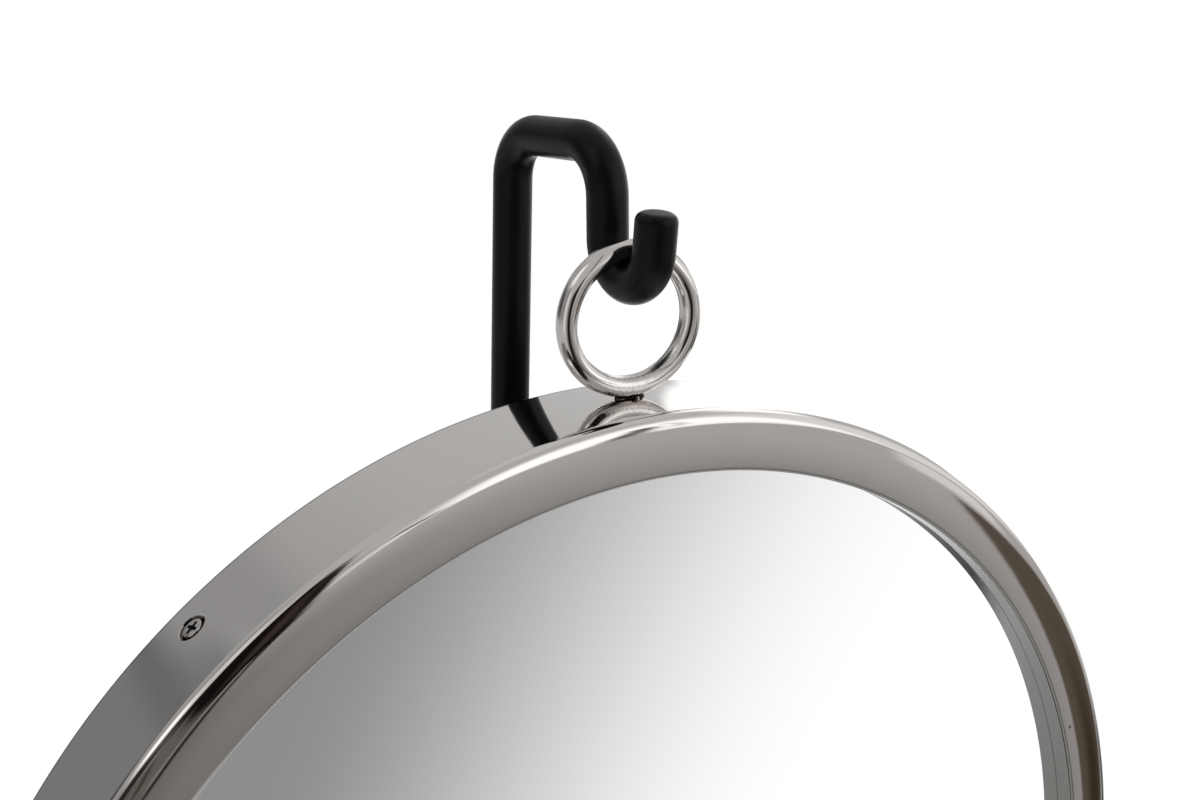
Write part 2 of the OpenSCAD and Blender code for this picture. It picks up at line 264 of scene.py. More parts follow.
class Nodes:
    """The nodes of one material or world."""

    def __init__(self, owner):
        owner.use_nodes = True
        self.owner = owner
        self.tree = owner.node_tree
        self.tree.nodes.clear()

    def add(self, kind, settings=None, sockets=None, output=0):
        """A node of a kind: its settings first, then the values or links of its sockets."""
        node = self.tree.nodes.new(kind)
        for name, value in (settings or {}).items():
            setattr(node, name, value)
        for key, value in (sockets or {}).items():
            if isinstance(value, Link):
                self.tree.links.new(value.socket, node.inputs[key])
            else:
                node.inputs[key].default_value = value
        return Link(self, node.outputs[output]) if node.outputs else None

    def math(self, operation, *values):
        return self.add("ShaderNodeMath", {"operation": operation}, dict(enumerate(values)))

    def vectors(self, operation, *values, output="Vector"):
        return self.add(
            "ShaderNodeVectorMath", {"operation": operation}, dict(enumerate(values)), output)

    def distance(self, a, b):
        """How far apart two places are."""
        return self.vectors("DISTANCE", a, b, output="Value")

    def place(self):
        """Object coordinates."""
        return self.add("ShaderNodeTexCoord", output="Object")

    def moved(self, vector, origin, scale=(1, 1, 1)):
        """The vector from an origin, with each axis scaled."""
        return self.vectors("MULTIPLY", self.vectors("SUBTRACT", vector, origin), scale)

    def parts(self, vector):
        """The x, y and z of a vector."""
        split = self.add("ShaderNodeSeparateXYZ", {}, {0: vector})
        node = split.socket.node
        return [Link(self, node.outputs[i]) for i in range(3)]

    def vector(self, x, y, z):
        return self.add("ShaderNodeCombineXYZ", {}, {0: x, 1: y, 2: z})

    def noise(self, vector, size, detail=2.0, roughness=0.5, distortion=0.0):
        """Noise with features about this size, in millimetres."""
        sockets = {
            "Vector": vector, "Scale": 1 / (size * MM), "Detail": detail, "Roughness": roughness,
            "Distortion": distortion}
        return self.add("ShaderNodeTexNoise", {}, sockets)

    def cells(self, vector, size, output="Distance"):
        """Voronoi cells about this size, in millimetres."""
        sockets = {"Vector": vector, "Scale": 1 / (size * MM)}
        return self.add("ShaderNodeTexVoronoi", {}, sockets, output)

    def ease(self, value, start, end):
        """A smooth step from 0 at start to 1 at end."""
        sockets = {"Value": value, "From Min": start, "From Max": end}
        return self.add("ShaderNodeMapRange", {"interpolation_type": "SMOOTHSTEP"}, sockets)

    def specks(self, vector, size, share, width):
        """Sparse round specks: one in each cell of a share of the cells."""
        chance = self.cells(vector, size, "Color")
        near = self.ease(self.cells(vector, size), width, width * 0.5)
        return near * (chance > 1 - share)

    def mix(self, factor, a, b):
        """Colour a at factor 0, b at factor 1."""
        return self.add("ShaderNodeMix", {"data_type": "RGBA"}, {0: factor, 6: a, 7: b}, 2)

    def principled(self, color, roughness, metallic=0.0, height=None, **others):
        """The material, with a Principled surface and a bump from a height in metres."""
        sockets = {"Base Color": color, "Roughness": roughness, "Metallic": metallic}
        if height is not None:
            sockets["Normal"] = self.add(
                "ShaderNodeBump", {}, {"Height": height, "Strength": 1.0, "Distance": 1.0})
        sockets.update({name.replace("_", " "): value for name, value in others.items()})
        return self.output(self.add("ShaderNodeBsdfPrincipled", {}, sockets))

    def output(self, shader, kind="ShaderNodeOutputMaterial"):
        """The material or world, with its surface."""
        self.add(kind, {}, {"Surface": shader})
        return self.owner


def new_material(name):
    """The empty nodes of a new material."""
    return Nodes(bpy.data.materials.new(name))


def grey(level):
    return (level, level, level, 1)


# Finishes


def round_the_axis(nodes):
    """Angle about the mirror's axis, distance from it and depth behind the frame's front."""
    x, y, z = nodes.parts(nodes.moved(nodes.place(), MIRROR_MID))
    return nodes.math("ARCTAN2", x, z), (x * x + z * z) ** 0.5, y


def polish(nodes, place, settings, wave, line, pit_share):
    """Height, roughness and marks of hand-polished nickel."""
    angle, radius, depth = round_the_axis(nodes)
    along = nodes.vector(angle * FRAME_R, depth * 12, radius * 12)
    lines = nodes.noise(along, 7, 3, 0.7)
    waves = nodes.noise(place, 42, 1.5, 0.4)
    ripples = nodes.noise(place, 13, 2, 0.5)
    smears = nodes.noise(place, 16, 4, 0.6)
    pits = nodes.specks(place, 5, pit_share, 0.055)
    dust = nodes.specks(nodes.moved(place, (0.3, 0.2, 0.1)), 2.4, pit_share, 0.06)
    marks = pits.largest(dust * 0.5)
    height = waves * wave + ripples * (wave * 0.12) + lines * line - pits * 12e-6
    roughness = settings.roughness + 0.03 * smears + 0.3 * marks
    return height, roughness, marks


# A pit in the flange at the right
FLANGE_PIT = Vector((FRAME_MID.x + 194.6 * MM, FRONT, FRAME_MID.z + 75.2 * MM))
# Dark tarnish in pits, nicks and brazing, also used on the frame as painted shade in the
# countersinks and beside the ring
TARNISH_AND_PAINTED_SHADE = (0.08, 0.068, 0.060, 1)
# Painted greenish shade on the bend and the lip beside the glass
LIP_PAINTED_SHADE = (0.15, 0.155, 0.145, 1)


def frame_nickel(name, settings):
    """Nickel of the frame: polish, tiny nicks along the band's back edge, a pit, and painted shade
    in the countersinks, beside the ring and on the lip.
    """
    nodes = new_material(name)
    place = nodes.place()
    height, roughness, marks = polish(nodes, place, settings, 60e-6, 0.08e-6, 0.06)
    angle, radius, depth = round_the_axis(nodes)

    def towards_back(start, end):
        return nodes.ease(depth, FRAME_DEPTH - start * MM, FRAME_DEPTH - end * MM)

    def into_opening(start, end):
        opening = FRAME_R - settings.flange_width
        return nodes.ease(radius, opening + start * MM, opening + end * MM)

    nicks = nodes.specks(place, 2.6, 0.30, 0.20) * towards_back(1.6, 0.2)
    chips = nodes.noise(nodes.vector(angle * FRAME_R, depth * 3, 0.0), 3.5, 5, 0.8)
    chips = nodes.ease(chips, 0.60, 0.70) * towards_back(0.7, 0)
    to_pit = nodes.distance(place, FLANGE_PIT)
    x = nodes.parts(place)[0]
    # Painted shade on a strip near the band's back edge, right of the ring
    painted_shade_beside_ring = nodes.ease(x, 14 * MM, 20 * MM) * nodes.ease(x, 130 * MM, 40 * MM)
    # Painted shade on faces lying below the band's outer face behind 12 mm: the countersinks'
    # walls and the sheet's inner side
    sunk_painted_shade = nodes.ease(radius, FRAME_R - 0.05 * MM, FRAME_R - 0.3 * MM) * (depth > 12 * MM)
    # Pits, dust, nicks, chips, the flange pit and a darker line along the back edge, with the
    # painted shade beside the ring and in the countersinks
    wear_and_painted_shade = marks
    for other in (nicks, chips * 0.8, towards_back(1.3, 0.5) * 0.6,
                  nodes.ease(to_pit, 0.95 * MM, 0.4 * MM) * 0.8,
                  towards_back(2.6, 1.4) * 0.5 * painted_shade_beside_ring, sunk_painted_shade * 0.97):
        wear_and_painted_shade = wear_and_painted_shade.largest(other)
    color = nodes.mix(wear_and_painted_shade, settings.color, TARNISH_AND_PAINTED_SHADE)
    # Painted greenish shade, strongest at the opening's edge
    color = nodes.mix(into_opening(1.4, 1.0) * 0.45, color, LIP_PAINTED_SHADE)
    color = nodes.mix(into_opening(1.0, 0.3) * 0.92, color, LIP_PAINTED_SHADE)
    height = height - nicks * 40e-6 - chips * 60e-6
    return nodes.principled(color, roughness + 0.2 * nicks, 1.0, height)


def ring_nickel(name, settings):
    """Nickel of the ring: filed marks inside its lower half, rough brazing and a nick."""
    nodes = new_material(name)
    place = nodes.place()
    height, roughness, marks = polish(nodes, place, settings, 16e-6, 0.3e-6, 0.12)
    x, y, z = nodes.parts(nodes.moved(place, RING_MID))
    out = (x * x + z * z) ** 0.5
    round_ring = nodes.math("ARCTAN2", x, 0 - z)
    middle = RING_SIZE.z / 2 - RING_SIZE.y / 2
    inside = nodes.ease(out, middle - 1.0 * MM, middle - 2.6 * MM)
    low = nodes.ease(z, 2 * MM, -11 * MM)
    filed = nodes.noise(nodes.vector(round_ring * middle, y * 0.12, out * 0.2), 0.55, 4, 0.75)
    scratched = nodes.noise(nodes.vector(round_ring * middle, y * 0.3, z * 0.3), 0.9, 5, 0.8)
    foot = nodes.vector(x, y * 0.8, z + RING_SIZE.z / 2)
    brazed = nodes.ease(nodes.distance(foot, (0, 0, 0)), 13 * MM, 4 * MM)
    lumps = nodes.noise(place, 1.6, 4, 0.65)
    nick = nodes.distance(place, RING_MID + Vector((middle * 0.93, -2.6 * MM, -6.5 * MM)))
    nick = nodes.ease(nick + (lumps - 0.5) * (2 * MM), 1.5 * MM, 0.5 * MM)
    worn = inside * low
    height = height + filed * worn * 14e-6 + scratched * worn * 8e-6 + lumps * brazed * 150e-6
    height = height - nick * 120e-6
    color = nodes.mix(marks, settings.color, TARNISH_AND_PAINTED_SHADE)
    shade = nodes.ease(scratched, 0.45, 0.7) * worn * 0.35
    shade = shade.largest(nodes.ease(lumps, 0.52, 0.68) * brazed * 0.25)
    color = nodes.mix(shade, color, TARNISH_AND_PAINTED_SHADE)
    roughness = roughness + 0.02 + 0.12 * worn + 0.05 * brazed
    return nodes.principled(color, roughness, 1.0, height)


def brazing(name, settings):
    """Filler metal under the ring, lumpy, half darkened with sooty patches and painted shade."""
    nodes = new_material(name)
    place = nodes.place()
    lumps = nodes.noise(place, 1.3, 4, 0.7)
    # Dark patches on the foot: partly sooty filler, partly painted shade of the gap under the
    # ring; the bead stays clear
    soot_and_painted_shade = nodes.ease(nodes.noise(place, 2.5, 3), 0.25, 0.50)
    bead = (BEADS[0][0], RING_MID.y + BEADS[0][1], FRAME_TOP + 0.5 * MM)
    soot_and_painted_shade = soot_and_painted_shade * nodes.ease(nodes.distance(place, bead), 0.6 * MM, 1.1 * MM)
    # Near-black colour of the sooty patches and painted shade
    color = nodes.mix(soot_and_painted_shade, settings.color, (0.02, 0.017, 0.015, 1))
    return nodes.principled(color, 0.12 + 0.3 * soot_and_painted_shade, 1.0, lumps * 220e-6)


def black_coat(name, settings, roughness, dents=()):
    """Satin black coat: fine orange peel, faint worn patches, a few specks of dust and the bar's
    dents.
    """
    nodes = new_material(name)
    place = nodes.place()
    peel = nodes.noise(place, 0.9, 2)
    swell = nodes.noise(place, 9, 2)
    cloud = nodes.noise(place, 14, 4, 0.6)
    dust = nodes.specks(place, 3.2, 0.06, 0.05)
    color = nodes.mix(0.5 * cloud, settings.color, grey(0.008))
    color = nodes.mix(dust * 0.8, color, grey(0.16))
    height = peel * 3e-6 + swell * 25e-6 + dust * 10e-6
    for at, size, depth in dents:
        rough_edge = nodes.distance(place, at) + (nodes.noise(place, 2.5, 3) - 0.5) * size
        height = height - nodes.ease(rough_edge, size, 0.3 * size) * depth
    roughness = roughness + 0.10 * (cloud - 0.5)
    return nodes.principled(color, roughness, 0.0, height, Specular_IOR_Level=0.16)


def zinc_steel(name):
    """Zinc-plated steel with a faint bluish grain."""
    nodes = new_material(name)
    place = nodes.place()
    grain = nodes.noise(place, 1.5, 4, 0.6)
    stain = nodes.noise(place, 6, 3)
    color = nodes.mix(stain, (0.52, 0.51, 0.50, 1), (0.36, 0.355, 0.35, 1))
    return nodes.principled(color, 0.22 + 0.18 * grain, 1.0, grain * 6e-6)


def screw_steel(name):
    """Bright plated steel with faint driver marks; its recesses take a painted shade."""
    nodes = new_material(name)
    place = nodes.place()
    grain = nodes.noise(place, 1.2, 4, 0.6)
    marks = nodes.specks(place, 1.5, 0.15, 0.12)
    color = nodes.mix(
        nodes.ease(grain, 0.35, 0.7) * 0.5, (0.66, 0.64, 0.62, 1), (0.34, 0.33, 0.32, 1))
    color = nodes.mix(marks * 0.7, color, (0.08, 0.07, 0.06, 1))
    return nodes.principled(color, 0.10 + 0.15 * grain, 1.0, grain * 20e-6 - marks * 20e-6)


def recess_painted_shade(name):
    """Painted shade for the deep faces of the screws' recesses, near black with faint clouds."""
    nodes = new_material(name)
    cloud = nodes.noise(nodes.place(), 0.8, 4)
    color = nodes.mix(cloud, (0.012, 0.010, 0.009, 1), (0.05, 0.044, 0.04, 1))
    return nodes.principled(color, 0.45, 0.3, cloud * 60e-6)


def felt(name):
    """Pressed black felt: short matted fibres."""
    nodes = new_material(name)
    place = nodes.place()
    mat_of_fibres = nodes.noise(place, 1.2, 5, 0.75, 1.5)
    lint = nodes.specks(place, 2.2, 0.12, 0.12)
    color = nodes.mix(mat_of_fibres, grey(0.008), grey(0.032))
    color = nodes.mix(lint * 0.5, color, grey(0.14))
    return nodes.principled(color, 0.95, 0.0, mat_of_fibres * 0.25 * MM, Sheen_Weight=0.4)


def silver_glass(name, settings):
    """Silvered face of the mirror."""
    nodes = new_material(name)
    dust = nodes.specks(nodes.place(), 7, 0.03, 0.03)
    color = nodes.mix(dust * 0.3, settings.silver, grey(0.5))
    return nodes.principled(color, 0.004 + 0.2 * dust, 1.0)


def clouded(name, size, detail, one, other, roughness, rougher, height):
    """A finish with soft clouds in its colour, roughness and surface."""
    nodes = new_material(name)
    cloud = nodes.noise(nodes.place(), size, detail)
    color = nodes.mix(cloud, one, other)
    return nodes.principled(color, roughness + rougher * cloud, 0.0, cloud * height)


def cell_foam(name, dark, light, size):
    """Foam with its open cells at the surface."""
    nodes = new_material(name)
    place = nodes.place()
    cells = nodes.cells(place, size)
    cloud = nodes.noise(place, 8, 3)
    color = nodes.mix(nodes.ease(cells, 0.05, 0.5) * 0.7 + 0.3 * cloud, light, dark)
    return nodes.principled(color, 0.88, 0.0, cells * (-0.3 * size * MM))


def hardboard(name, dark, light):
    """Pressed fibreboard: short fibres in all directions and darker flecks."""
    nodes = new_material(name)
    place = nodes.place()
    fibres = nodes.noise(nodes.moved(place, (0, 0, 0), (1, 3, 3.5)), 2.5, 6, 0.7, 1.0)
    cross = nodes.noise(nodes.moved(place, (0, 0, 0), (3.5, 3, 1)), 2.5, 6, 0.7, 1.0)
    cloud = nodes.noise(place, 40, 3)
    flecks = nodes.specks(place, 4, 0.2, 0.12)
    color = nodes.mix((fibres + cross) * 0.4 + 0.2 * cloud, dark, light)
    color = nodes.mix(flecks * 0.6, color, dark)
    return nodes.principled(color, 0.55 + 0.25 * fibres, 0.0, (fibres + cross) * 30e-6)


def hoop_wood(name):
    """Pale wood with its grain round the hoop, and end grain pores."""
    nodes = new_material(name)
    angle, radius, depth = round_the_axis(nodes)
    along = nodes.vector(angle * (HOOP_SIZE.x / 16), depth * 2.2, radius * 3)
    bands = nodes.noise(along, 5, 4, 0.6, 1.2)
    fine = nodes.noise(nodes.vector(angle * 0.006, depth * 3, radius * 3), 0.8, 4, 0.7)
    color = nodes.mix(nodes.ease(bands, 0.35, 0.65), (0.50, 0.33, 0.17, 1), (0.36, 0.215, 0.10, 1))
    color = nodes.mix(nodes.ease(fine, 0.55, 0.75), color, (0.24, 0.13, 0.055, 1))
    return nodes.principled(color, 0.6, 0.0, fine * 40e-6 + bands * 20e-6)


# Mesh tools


def spin(bm, geom, centre, axis, angle, steps, closed=False):
    """Sweeps geometry round an axis and returns where it ends."""
    return bmesh.ops.spin(
        bm, geom=geom, cent=centre, axis=axis, dvec=(0, 0, 0), angle=angle, steps=steps,
        use_merge=closed, use_normal_flip=False, use_duplicate=False)["geom_last"]


def bevel(bm, edges, offset, segments):
    """Rounds the edges off."""
    bmesh.ops.bevel(
        bm, geom=edges, offset=offset, offset_type="OFFSET", segments=segments, profile=0.5,
        affect="EDGES", clamp_overlap=True, material=-1)


def scaled(bm, x, y, z):
    bmesh.ops.scale(bm, vec=(x, y, z), verts=bm.verts[:])
    return bm


def shifted(bm, x, y, z):
    bmesh.ops.translate(bm, vec=(x, y, z), verts=bm.verts[:])
    return bm


class Outline:
    """A line in the XZ plane, drawn from point to point, that is then turned about Z."""

    def __init__(self, x, z):
        self.bm = bmesh.new()
        self.first = self.bm.verts.new((x, 0, z))
        self.end = self.first

    def line(self, x, z, steps=1):
        """Straight on to (x, z)."""
        start, target = self.end.co.copy(), Vector((x, 0, z))
        for i in range(steps):
            self.end = bmesh.ops.extrude_vert_indiv(self.bm, verts=[self.end])["verts"][0]
            self.end.co = start.lerp(target, (i + 1) / steps)
        return self

    def arc(self, x, z, degrees, steps):
        """Round the centre (x, z), clockwise where degrees are positive."""
        last = spin(self.bm, [self.end], (x, 0, z), (0, 1, 0), math.radians(degrees), steps)
        self.end = [g for g in last if isinstance(g, bmesh.types.BMVert)][0]
        return self

    def turned(self, steps, closed=False):
        """The outline turned about Z as a closed skin."""
        bm = self.bm
        if closed:
            bm.edges.new((self.end, self.first))
        spin(bm, bm.verts[:] + bm.edges[:], (0, 0, 0), (0, 0, 1), math.tau, steps, True)
        bmesh.ops.remove_doubles(bm, verts=bm.verts[:], dist=1e-6)
        bmesh.ops.recalc_face_normals(bm, faces=bm.faces[:])
        return bm


def place_mesh(bm, matrix):
    bmesh.ops.transform(bm, matrix=matrix, verts=bm.verts[:])
    return bm


def copies(bm, matrices):
    """The mesh at each of several places, joined in one."""
    whole = bmesh.new()
    for matrix in matrices:
        mesh = bpy.data.meshes.new("copy")
        bm.to_mesh(mesh)
        mesh.transform(matrix)
        whole.from_mesh(mesh)
        bpy.data.meshes.remove(mesh)
    bm.free()
    return whole


def mesh_object(name, bm):
    """An object in the scene that holds the mesh."""
    mesh = bpy.data.meshes.new(name)
    bm.to_mesh(mesh)
    bm.free()
    shown = bpy.data.objects.new(name, mesh)
    bpy.context.scene.collection.objects.link(shown)
    return shown


def combine(bm, other, operation="DIFFERENCE"):
    """Boolean of two meshes."""
    kept, tool = mesh_object("kept", bm), mesh_object("tool", other)
    cut = kept.modifiers.new("cut", "BOOLEAN")
    cut.operation = operation
    cut.solver = "EXACT"
    cut.object = tool
    result = bmesh.new()
    result.from_object(kept, bpy.context.evaluated_depsgraph_get())
    for used in (kept, tool):
        mesh = used.data
        bpy.data.objects.remove(used)
        bpy.data.meshes.remove(mesh)
    return result


def torus(ring_r, bar_r, around, along):
    """A round bar bent to a ring about Z."""
    bm = bmesh.new()
    bmesh.ops.create_circle(bm, segments=around, radius=bar_r)
    bmesh.ops.rotate(
        bm, cent=(0, 0, 0), matrix=Matrix.Rotation(math.pi / 2, 3, "X"), verts=bm.verts[:])
    shifted(bm, ring_r, 0, 0)
    spin(bm, bm.verts[:] + bm.edges[:], (0, 0, 0), (0, 0, 1), math.tau, along, True)
    bmesh.ops.recalc_face_normals(bm, faces=bm.faces[:])
    return bm


def cone(low_r, high_r, depth, segments):
    """A capped cone about Z, with its middle at 0."""
    bm = bmesh.new()
    bmesh.ops.create_cone(
        bm, cap_ends=True, segments=segments, radius1=low_r, radius2=high_r, depth=depth)
    return bm


def disc(radius, low, high, edge, inside=0.0, edge_steps=3, steps=192):
    """A round plate or a flat ring from low to high, with rounded edges."""
    start = inside + edge if inside else 0
    outline = Outline(start, high).line(radius - edge, high)
    outline.arc(radius - edge, high - edge, 90, edge_steps).line(radius, low + edge)
    outline.arc(radius - edge, low + edge, 90, edge_steps).line(start, low)
    if inside:
        outline.arc(start, low + edge, 90, edge_steps).line(inside, high - edge)
        outline.arc(start, high - edge, 90, edge_steps)
    return outline.turned(steps)


def finish_piece(name, bm, body, material, node, sharp=30):
    """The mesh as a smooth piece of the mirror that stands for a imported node."""
    for face in bm.faces:
        face.smooth = True
    for edge in bm.edges:
        edge.smooth = len(edge.link_faces) == 2 and edge.calc_face_angle(0) < math.radians(sharp)
    piece = mesh_object(name, bm)
    for one in material if isinstance(material, (list, tuple)) else [material]:
        piece.data.materials.append(one)
    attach(piece, body)
    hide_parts(node)
    return piece


def paint_node(node, material):
    """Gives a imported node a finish."""
    shown = frame["nodes"][node]
    shown.data.materials.clear()
    shown.data.materials.append(material)


# Stage


def directions(nodes):
    """Azimuth from the front to the right and elevation of each place on a tent, in degrees."""
    x, y, z = nodes.parts(nodes.vectors("NORMALIZE", nodes.moved(nodes.place(), STUDIO_MID)))
    azimuth = nodes.math("ARCTAN2", x, 0 - y) * math.degrees(1)
    return azimuth, nodes.math("ARCSINE", z) * math.degrees(1)


def studio_light(nodes, panels):
    """Brightness of the studio seen in each direction: soft-edged panels over an even grey.

    A panel's row: azimuth, elevation, half width, half height, turn, softness of its sides or
    of its sides and ends, all in degrees, and its grey or colour.
    """
    azimuth, elevation = directions(nodes)
    color = BASE_LIGHT
    for at, high, half_w, half_h, turn, soft, shade in panels:
        aside = nodes.math("WRAP", azimuth - at, 180.0, -180.0)
        above = elevation - high
        c, s = math.cos(math.radians(turn)), math.sin(math.radians(turn))
        across, up = aside * c + above * s, above * c - aside * s
        soft_w, soft_h = soft if isinstance(soft, tuple) else (soft, soft)
        mask = nodes.ease(abs(across), half_w + soft_w, half_w - soft_w)
        mask = mask * nodes.ease(abs(up), half_h + soft_h, half_h - soft_h)
        color = nodes.mix(mask, color, grey(shade) if isinstance(shade, float) else (*shade, 1))
    return color


# The studio as the mirror's top sees it
STUDIO_MID = (0, FRONT, FRAME_TOP)
BASE_LIGHT = grey(0.56)
PANELS = [
    # Ceiling, brighter to the right
    (110, 72, 50, 22, 0, 14, 0.66),
    # Left wall, and its dark lower part at the back
    (-103, 25, 30, 33, 0, 8, 0.31),
    (-140, 30, 38, 14, 0, (15, 12), 0.445),
    (-146, 9, 26, 15.5, 0, (6, 1.5), 0.25),
    (-168.5, 18, 10, 9, 36, (1.2, 3), 0.375),
    (-155, 18, 6, 2, 0, 2, 0.19),
    (-128, 10, 14, 12, 0, 7, 0.06),
    # White sweep behind, with the glow above it
    (140, 10, 25, 14, 0, 14, 0.64),
    (135, -17.6, 42, 22.6, 0, 1.4, 1.45),
    (105, -2, 14, 12.3, 0, 1.4, 1.45),
    (130, 8, 12.1, 10, -13.8, 0.3, 1.45),
    (128, 20, 9, 16, 0, 4, 1.45),
    (106, 40, 24, 7, 0, 4, 1.45),
    # Darker floor at the right
    (92, -28, 34, 14, 0, 7, 0.33),
    # White panel in front, with its glow, and a pole before it
    (46, 16, 38, 24, 0, 12, 0.92),
    (32, 13, 16, 22, 8, (6, 14), 1.50),
    (32.2, 6, 1.3, 13, -4, 1.0, 0.15),
    (36, 12, 0.6, 14, -6, 0.8, 0.80),
    # Grey floor in front, darker downwards and to the left
    (32, -34, 60, 30.1, 0, 0.6, (0.520, 0.505, 0.498)),
    (30, -55, 60, 26.5, 0, (5, 21.5), (0.15, 0.143, 0.138)),
    (0, -40, 20, 28, 0, (22, 8), (0.14, 0.133, 0.128)),
    (98, -38, 28, 18.5, 0, 3, 0.14),
    # Brown board low at the right, with its lit edge
    (51, -9.5, 3.6, 2.4, -20, 1, 0.85),
    (54.8, -26.6, 9, 12, -14, 0.6, (0.110, 0.089, 0.068)),
    (57, -28, 5, 7, -14, 4, (0.045, 0.034, 0.022)),
]
# Black flag that the camera looks past, as the frame's left side sees it
FRAME_FLAG = [
    # Soft box at the left, and the pale wall above it
    (-86, 52, 22, 7, 0, 5, 0.78),
    (-90, 38, 15, 6, 0, 4, 1.40),
    (-45, 45, 18, 17, -14, 4.5, (0.010, 0.009, 0.009)),
    (-58, 22, 18, 10, -12, 5, (0.030, 0.027, 0.026)),
    (-32, 42, 14, 13, -46.5, 2.2, (0.008, 0.006, 0.006)),
    (-15, 12, 15.6, 34, 27.4, 1.3, (0.008, 0.006, 0.006)),
    (-24, 44, 4, 10, 40, 4, (0.042, 0.031, 0.028)),
    (-6, 14, 3.2, 22, 30, 2.5, (0.046, 0.035, 0.030)),
    # Floor seen under the flag
    (-21.5, -8.3, 16.2, 30, 46, 1.6, (0.150, 0.142, 0.130)),
    (-29, -2, 5, 26, 46, 5, (0.060, 0.052, 0.046)),
    (-13.5, -1, 0.8, 18, 46, 0.8, (0.060, 0.045, 0.036)),
    (10.6, -16, 0.7, 5.5, -24, 0.4, (0.010, 0.008, 0.007)),
    (8.9, -15.5, 0.5, 4, -24, 0.4, 0.30),
    # Thin edge of the flag's stand
    (0, 23.5, 0.8, 10.3, 51, 1.0, 0.22),
    (13.5, 8, 0.9, 10.8, 31.4, 1.0, 0.12),
]
# The same flag as the ring sees it, from nearer by
RING_FLAG = [
    (-86, 45, 22, 14, 0, 6, 1.10),
    (-14, -12, 12, 24, 6, 3, (0.012, 0.010, 0.009)),
    (-31, -10, 6, 22, 6, 3, (0.20, 0.175, 0.155)),
    (-12, 38, 1.6, 26, 16, 1.2, (0.030, 0.024, 0.021)),
    (-60, 0, 6, 20, 0, 5, 0.95),
]
# What only the glass shows: grey at the left, white to the right, then grey again
GLASS_GREY = grey(0.28)
GLASS_WHITE = grey(1.06)


def glass_light(nodes):
    """Brightness that the glass shows in each direction."""
    azimuth, elevation = directions(nodes)
    slope = azimuth - 0.5 * elevation
    color = nodes.mix(nodes.ease(slope, 35.0, 55.5), GLASS_GREY, GLASS_WHITE)
    return nodes.mix(nodes.ease(slope, 68.0, 75.0), color, GLASS_GREY)


def tent(name, radius, light, linked, state, through=True):
    """A glowing ball round the studio that the camera doesn't see, linked to some pieces or to
    all others."""
    bm = bmesh.new()
    bmesh.ops.create_icosphere(bm, subdivisions=4, radius=radius)
    shell = mesh_object(name, shifted(bm, *STUDIO_MID))
    nodes = new_material(name)
    glow = nodes.add("ShaderNodeEmission", {}, {"Color": light(nodes), "Strength": 1.0})
    if through:
        clear = nodes.add("ShaderNodeBsdfTransparent", {}, {"Color": grey(1)})
        glow = nodes.add("ShaderNodeAddShader", {}, {0: glow, 1: clear})
    material = nodes.output(glow)
    material.cycles.emission_sampling = "NONE"
    shell.data.materials.append(material)
    shell.visible_camera = False
    receivers = bpy.data.collections.new(name + "_lights")
    for piece in linked:
        receivers.objects.link(bpy.data.objects[piece])
    for entry in receivers.collection_objects:
        entry.light_linking.link_state = state
    shell.light_linking.receiver_collection = receivers


# How brightly the floor glows to the camera and in metal and glass
FLOOR_GLOW = 0.55


def floor_material(settings):
    """Pale floor that looks white to the camera and in metal and glass, with shadows kept."""
    nodes = new_material("floor")
    path = nodes.add("ShaderNodeLightPath").socket.node
    seen = [Link(nodes, path.outputs[name])
            for name in ("Is Camera Ray", "Is Glossy Ray", "Is Transmission Ray")]
    lit = nodes.add("ShaderNodeBsdfDiffuse", {}, {"Color": settings.floor_color})
    level = seen[0].largest(seen[1]).largest(seen[2]) * FLOOR_GLOW
    glow = nodes.add("ShaderNodeEmission", {}, {"Color": grey(1), "Strength": level})
    both = nodes.add("ShaderNodeAddShader", {}, {0: lit, 1: glow})
    x, y = nodes.parts(nodes.place())[:2]
    far, near = settings.floor_radius * 0.97, settings.floor_radius * 0.7
    fade = nodes.ease((x * x + y * y) ** 0.5, far, near)
    clear = nodes.add("ShaderNodeBsdfTransparent")
    return nodes.output(nodes.add("ShaderNodeMixShader", {}, {0: fade, 1: clear, 2: both}))


class BuildStage(bpy.types.Operator):
    """Camera at the photographed angle, pale floor, white world and the studio's panels"""

    bl_idname = "hanging_mirror.build_stage"
    bl_label = "Stage"

    def execute(self, context):
        scene = context.scene
        settings = scene.hanging_mirror.stage
        scene.view_settings.view_transform = "Standard"
        lens = bpy.data.cameras.new("camera")
        lens.lens = settings.lens
        lens.clip_start, lens.clip_end = 0.01, 100
        camera = bpy.data.objects.new("camera", lens)
        scene.collection.objects.link(camera)
        turn = Matrix.Rotation(-settings.azimuth, 4, "Z")
        turn = turn @ Matrix.Rotation(math.pi / 2 - settings.elevation, 4, "X")
        turn = turn @ Matrix.Rotation(settings.roll, 4, "Z")
        camera.matrix_world = Matrix.Translation(settings.place) @ turn
        scene.camera = camera

        world = bpy.data.worlds.new("white_world")
        scene.world = world
        nodes = Nodes(world)
        sky = nodes.add("ShaderNodeBackground", {}, {"Color": grey(1), "Strength": 1.0})
        nodes.output(sky, "ShaderNodeOutputWorld")

        bm = bmesh.new()
        bmesh.ops.create_circle(bm, cap_ends=True, segments=96, radius=settings.floor_radius)
        floor = mesh_object("floor", bm)
        floor.data.materials.append(floor_material(settings))

        tent("studio", 24, lambda nodes: studio_light(nodes, PANELS + FRAME_FLAG),
             ["mirror_plate", "ring_bar"], "EXCLUDE")
        tent("ring_studio", 25, lambda nodes: studio_light(nodes, PANELS + RING_FLAG),
             ["ring_bar"], "INCLUDE")
        tent("glass_studio", 26, glass_light, ["mirror_plate"], "INCLUDE", through=False)
        return {"FINISHED"}


# Pieces of the mirror


